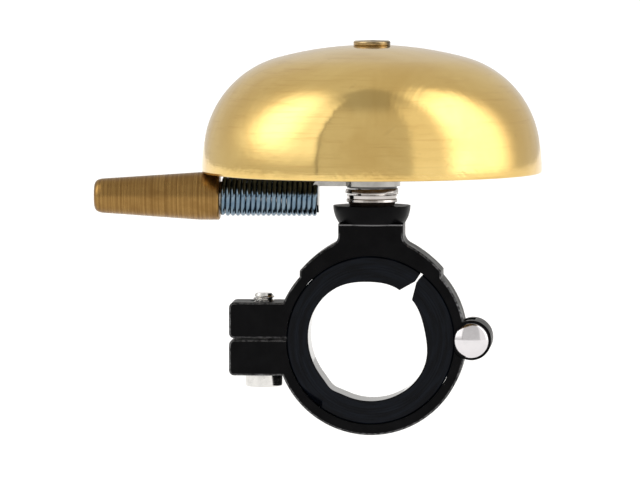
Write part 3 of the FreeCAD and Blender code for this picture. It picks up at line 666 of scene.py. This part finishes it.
def make_thick_washer():
    """Turned, with a narrow band round its foot and a shallow waist above."""
    low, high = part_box("thrust_washer")
    outer, tall, bore = (high.x - low.x) / 2 / MM, (high.z - low.z) / MM, 2.1
    profile = [(bore, 0.0), (outer - 0.10, 0.0), (outer, 0.06), (outer - 0.05, 0.48),
               (outer - 0.16, 0.56), (outer - 0.20, 0.66), (outer - 0.12, tall - 0.10),
               (outer - 0.20, tall), (bore, tall)]
    points, faces = turned(profile, SCREW_SEGMENTS, closed=True)
    place = Matrix.Translation((0, 0, low.z))
    washer = make_piece("thick_washer", points, faces, LOOKS["washer_steel"], 20,
                        place)
    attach(washer, "clamp_and_bell")
    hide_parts("thrust_washer")


make_split_washer()
make_thick_washer()

# ---------------------------------------------------------------- striker spring and knob


def make_striker_coil():
    """The helix of the spring. It runs from the plate's lug to the knob."""
    low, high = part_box("striker_spring")
    wire, first_turn = 0.47, 0.9
    middle = (high.z - low.z) / 2 / MM - 0.5
    turns, per_turn = 18.3, 60
    start, end = high.x / MM + 0.45, low.x / MM + 0.5
    axis_up = (low.z + high.z) / 2 / MM
    steps = int(turns * per_turn)
    path = []
    for step in range(steps + 1):
        share = step / steps
        angle = FULL_TURN * turns * share + first_turn
        path.append(Vector((start + (end - start) * share,
                            -middle * math.sin(angle), axis_up + middle * math.cos(angle))))

    def across(index):
        out = Vector((0, path[index].y, path[index].z - axis_up)).normalized()
        return out, Vector((1, 0, 0))

    section = arc((0.0, 0.0), wire, 0, 360, 14)[:-1]
    points, faces = swept(path, section, across)
    coil = make_piece("striker_coil", points, faces, LOOKS["spring_zinc"], 60)
    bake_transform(coil)
    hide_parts("striker_spring")


def make_striker_grip():
    """The knob is turned: fine random grooves run round it, and its tip is softly rounded."""
    low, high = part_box("striker_knob")
    length = (high.x - low.x) / MM
    large, small, straight = 4.5, 3.15, 3.9
    tip_round, base_round, groove = 1.2, 0.4, 0.012
    chance = random.Random(4)
    lean = math.degrees(math.atan2(large - small, length - straight))
    # the hole for the stud, then the base's edge
    profile = [(0.0, 7.3), (1.8, 7.3), (2.0, 7.1), (2.0, 0.25), (2.25, 0.0)]
    profile += arc((large - base_round, base_round), base_round, -90, 0, 6)
    steps = 190
    for step in range(1, steps):
        up = base_round + (length - tip_round - base_round) * step / steps
        out = large - (large - small) * max(0.0, up - straight) / (length - straight)
        profile.append((out - groove * chance.random(), up))
    profile += arc((small - tip_round, length - tip_round), tip_round, lean, 90, 10)
    profile.append((0.0, length))
    points, faces = turned(profile, 128)
    centre = middle_of("striker_knob")
    place = pointing((-1, 0, 0), (high.x, centre.y, centre.z))
    knob = make_piece("striker_grip", points, faces, LOOKS["knob_brass"], 40, place)
    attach(knob, "striker")
    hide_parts("striker_knob")


make_striker_coil()
make_striker_grip()

# ---------------------------------------------------------------- bent shim

# Angles round the bore in degrees, from the hinge's side up.
SPLIT_AT = 52.4
CREASE_AT = 231.6
SHIM_BORE = 11.45
# Smooth bumps in the bore: where, how wide in degrees, and how far out in mm.
SHIM_BENDS = ((20, 33, -1.1), (85, 25, -0.5), (145, 45, 0.55), (231, 8, 0.35))
NOTCH_DEEP, NOTCH_STEEP, NOTCH_LONG = 1.1, 0.7, 5.0


def shim_bore(angle):
    """The radius of the shim's bore, which is bent and so isn't round."""
    radius = SHIM_BORE
    for centre, wide, bulge in SHIM_BENDS:
        away = (angle - centre + 180) % 360 - 180
        radius += bulge * math.exp(-(away / wide) ** 2)
    return radius


def split_gap(radius):
    """Half the gap of the split: a waist in the middle that opens both ways."""
    waist, narrow = 13.95, 0.15
    if radius < waist:
        return narrow + (1.65 - narrow) * (waist - radius) / (waist - 10.55)
    return narrow + 0.088 * (radius - waist)


def shim_outside(angle, outer):
    """The outside of the shim's face, notched where it was meant to fold."""
    along = math.radians(CREASE_AT - angle) * outer
    if -NOTCH_STEEP < along < 0:
        return outer - NOTCH_DEEP * (1 + along / NOTCH_STEEP)
    if 0 <= along < NOTCH_LONG:
        return outer - NOTCH_DEEP * (1 - along / NOTCH_LONG)
    return outer


def make_bent_shim():
    """Sections set round the bore from one side of the split to the other, closed at both."""
    low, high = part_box("bar_shim")
    outer, half = (high.x - low.x) / 2 / MM, (high.y - low.y) / 2 / MM
    stations, ease, chamfer = 400, 0.12, 0.3
    points, faces = [], []
    for station in range(stations + 1):
        share = station / stations
        about = SPLIT_AT + 360 * share
        bore, rim = shim_bore(about), shim_outside(about, outer)
        section = [(bore, ease - half), (bore + ease, -half), (12.9, -half), (13.95, -half),
                   (rim - chamfer, -half), (outer, (outer - rim) * 0.8 + chamfer - half)]
        section += [(radius, -across) for radius, across in reversed(section)]
        for radius, across in section:
            gap = math.degrees(math.asin(split_gap(radius) / radius))
            angle = math.radians(SPLIT_AT + gap + (360 - 2 * gap) * share)
            points.append((radius * math.cos(angle), across, radius * math.sin(angle)))
    count = len(section)
    for station in range(stations):
        for side in range(count):
            after = (side + 1) % count
            near, far = station * count, (station + 1) * count
            faces.append((near + side, near + after, far + after, far + side))
    for first in (0, stations * count):
        for side in range(count // 2 - 1):
            other = count - 1 - side
            faces.append((first + side, first + side + 1, first + other - 1, first + other))
    shim = make_piece("bent_shim", points, faces, LOOKS["shim_plastic"], 28)
    shim.data.materials.append(LOOKS["shim_bore"])
    for face in list(shim.data.polygons)[count - 1:stations * count:count]:
        face.material_index = 1
    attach(shim, "clamp_and_bell")
    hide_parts("bar_shim")


make_bent_shim()

# ---------------------------------------------------------------- floor, light and camera

FLOOR_DROP = 0.055


def make_floor():
    """A pale floor with a little light of its own, so that it stays white."""
    look = Look("floor_pale", (0.93, 0.93, 0.93), roughness=0.8, Emission_Strength=0.16)
    look.shader.inputs["Emission Color"].default_value = (1.0, 1.0, 1.0, 1.0)
    cloud = look.noise(look.place(), 3.0, 2.0, 0.5)
    look.set("Roughness", look.between(cloud, 0.3, 0.7, 0.75, 0.85))
    points, faces = turned([(0.0, 0.0), (300.0, 0.0), (5000.0, 0.0)], 64)
    mesh = bpy.data.meshes.new("floor")
    mesh.from_pydata([Vector(point) * MM for point in points], [], faces)
    mesh.materials.append(look.material)
    floor = bpy.data.objects.new("floor", mesh)
    bpy.context.scene.collection.objects.link(floor)
    floor.location.z = cad_low.z - FLOOR_DROP


def make_world():
    """A soft studio, bright to the left and right and dimmer in front. The camera sees white."""
    world = bpy.data.worlds.new("studio")
    bpy.context.scene.world = world
    world.use_nodes = True
    tree = world.node_tree
    tree.nodes.clear()
    sky = Nodes(tree)
    parts = sky.split(sky.node("TexCoord").outputs["Generated"])
    facing = sky.maths("ARCTAN2", parts["X"], sky.maths("MULTIPLY", parts["Y"], -1.0))
    turn = sky.maths("DEGREES", facing)
    tilt = sky.maths("DEGREES", sky.maths("ARCSINE", parts["Z"]))

    def window(value, low, high, low_soft, high_soft):
        rise = sky.between(value, low - low_soft, low + low_soft)
        fall = sky.between(value, high - high_soft, high + high_soft, 1.0, 0.0)
        return sky.maths("MULTIPLY", rise, fall)

    def panel(turn_range, turn_soft, tilt_range, tilt_soft, amount):
        shape = sky.maths("MULTIPLY", window(turn, *turn_range, *turn_soft),
                          window(tilt, *tilt_range, *tilt_soft))
        return sky.maths("MULTIPLY", shape, amount)

    # each panel: its turn from the front and its tilt in degrees, with soft edges, and its light
    light = 0.72
    for each in (
        panel((-102, -36), (24, 4), (8, 66), (8, 12), 0.70),
        panel((-92, -58), (14, 14), (14, 60), (12, 14), 1.20),
        panel((31, 112), (3, 16), (-4, 68), (6, 12), 0.38),
        panel((60, 108), (10, 14), (-4, 66), (8, 14), 1.55),
        panel((-35.2, -33.2), (0.9, 0.9), (-8, 60), (8, 8), -0.40),
        panel((-56, 56), (14, 14), (58, 90), (9, 8), -0.24),
    ):
        light = sky.maths("ADD", light, each)
    studio = sky.node("Background", {"Color": (1.0, 0.985, 0.96, 1.0), "Strength": light})
    white = sky.node("Background", {"Color": (1.0, 1.0, 1.0, 1.0), "Strength": 1.0})
    camera_ray = sky.node("LightPath").outputs["Is Camera Ray"]
    both = sky.node("MixShader", {0: camera_ray, 1: studio.outputs[0], 2: white.outputs[0]})
    sky.node("OutputWorld", {"Surface": both.outputs[0]})


# The camera: degrees round and up from the front, then metres.
VIEW_TURN = 3.4
VIEW_TILT = 3.6
VIEW_DISTANCE = 1.6
VIEW_WIDTH = 0.12075
VIEW_CENTRE = (-0.0098, 0.0, 0.0185)


def make_camera():
    lens = bpy.data.cameras.new("camera")
    lens.sensor_width = 36.0
    lens.lens = lens.sensor_width * VIEW_DISTANCE / VIEW_WIDTH
    lens.clip_start, lens.clip_end = 0.01, 20.0
    camera = bpy.data.objects.new("camera", lens)
    turn, tilt = math.radians(VIEW_TURN), math.radians(VIEW_TILT)
    back = Vector((math.sin(turn) * math.cos(tilt), -math.cos(turn) * math.cos(tilt),
                   math.sin(tilt)))
    camera.location = Vector(VIEW_CENTRE) + back * VIEW_DISTANCE
    camera.rotation_euler = (-back).to_track_quat("-Z", "Y").to_euler()
    bpy.context.scene.collection.objects.link(camera)
    bpy.context.scene.camera = camera


make_floor()
make_world()
make_camera()
bpy.context.scene.view_settings.view_transform = "Standard"
